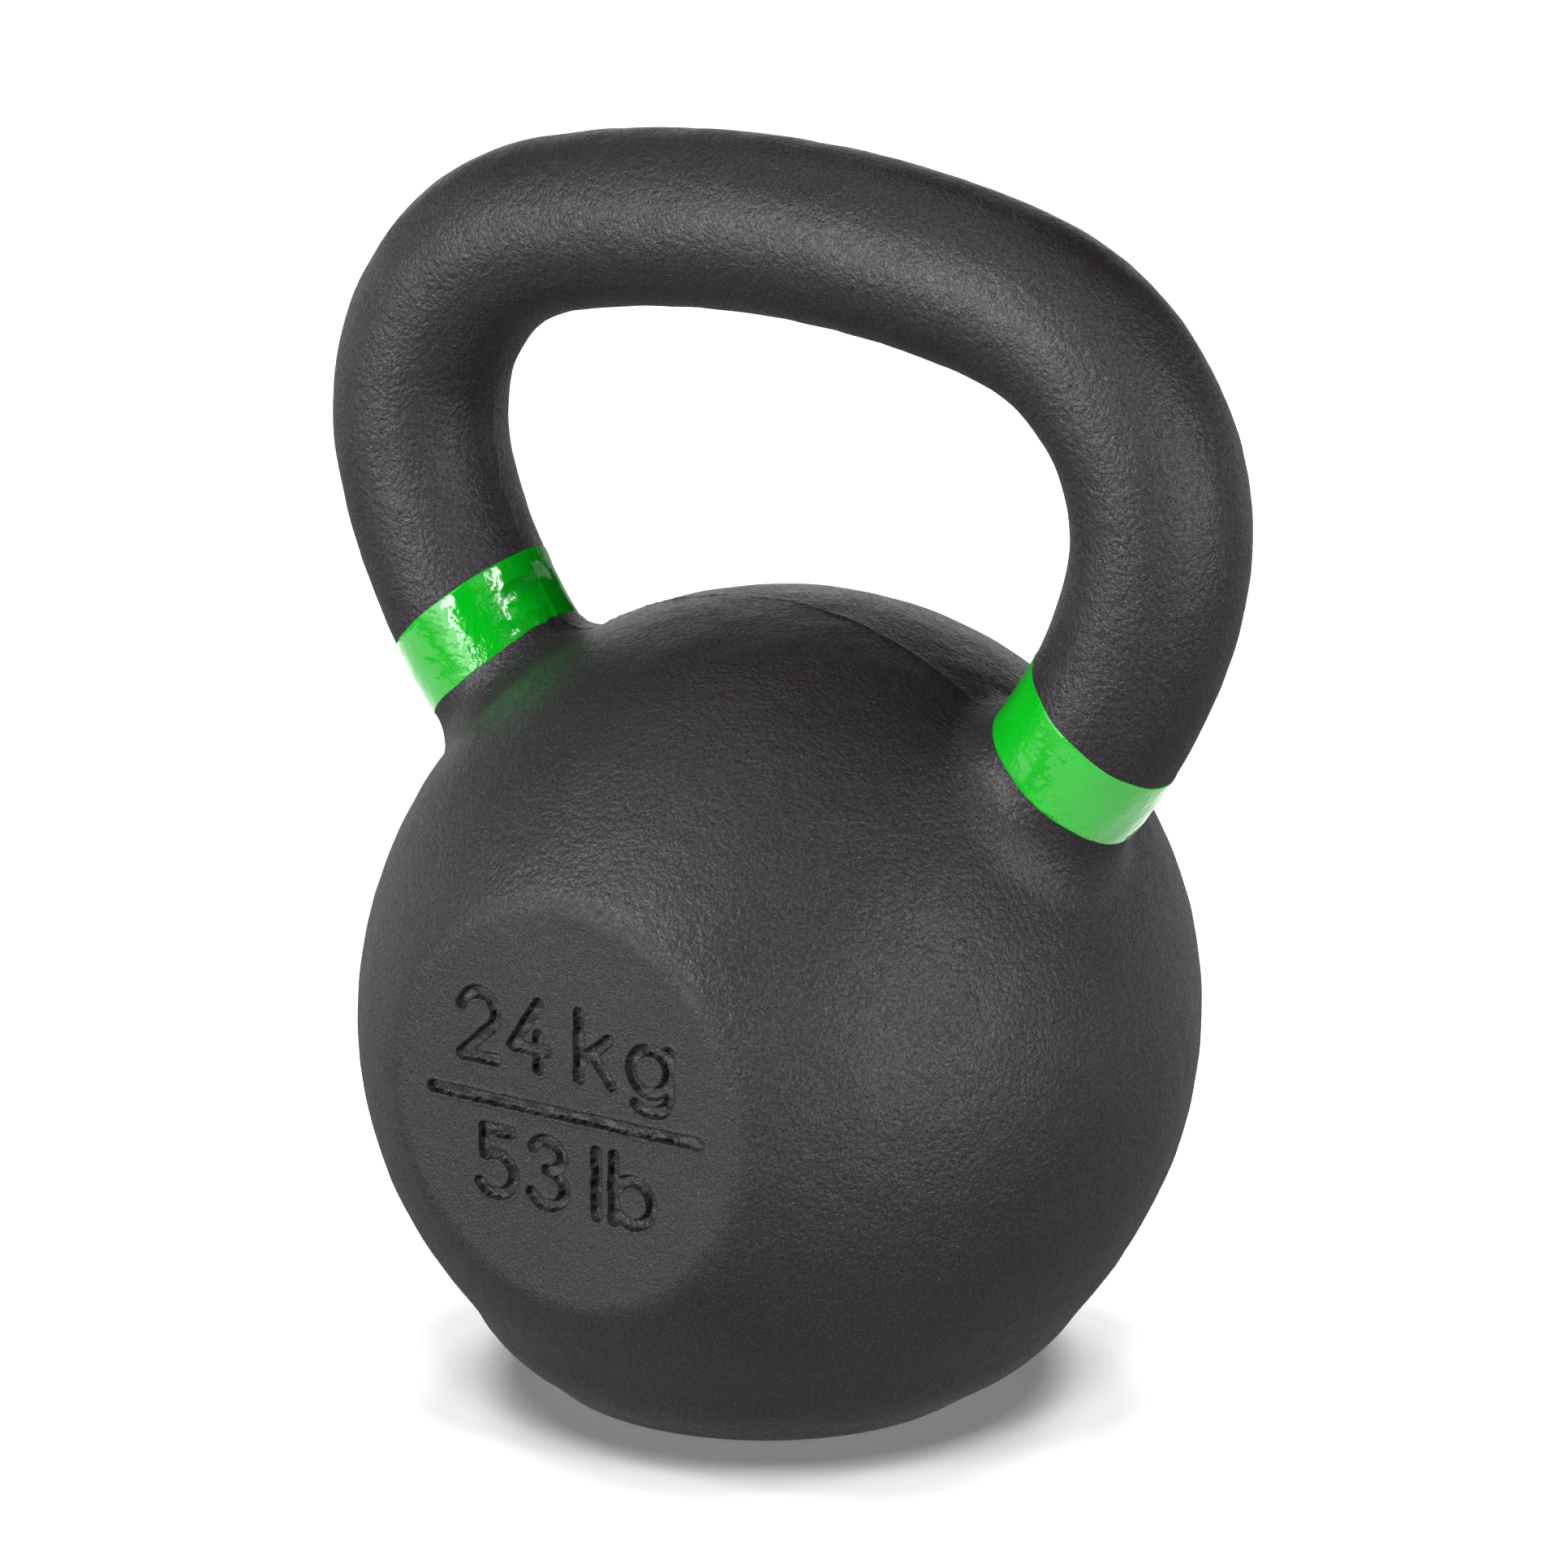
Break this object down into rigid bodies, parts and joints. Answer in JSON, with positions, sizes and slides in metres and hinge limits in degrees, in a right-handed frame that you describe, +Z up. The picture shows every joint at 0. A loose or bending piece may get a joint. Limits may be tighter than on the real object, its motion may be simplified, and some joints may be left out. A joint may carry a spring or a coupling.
{
  "type": "kettlebell",
  "caption": "Cast-iron kettlebell: a round ball with a flat foot, flat front and back faces, a thick looped handle and a colour band round each horn.",
  "frame": {"origin": "centre of the flat foot that the ball stands on", "axes": "+Z up, the handle runs along X, the face with the weight mark looks towards -Y"},
  "size_m": [0.2214, 0.1594, 0.2682],
  "materials": {
    "iron": "satin",
    "band": "gloss"
  },
  "bodies": {
    "root": {"casting": "iron", "band_left": "band", "band_right": "band"}
  },
  "joints": []
}
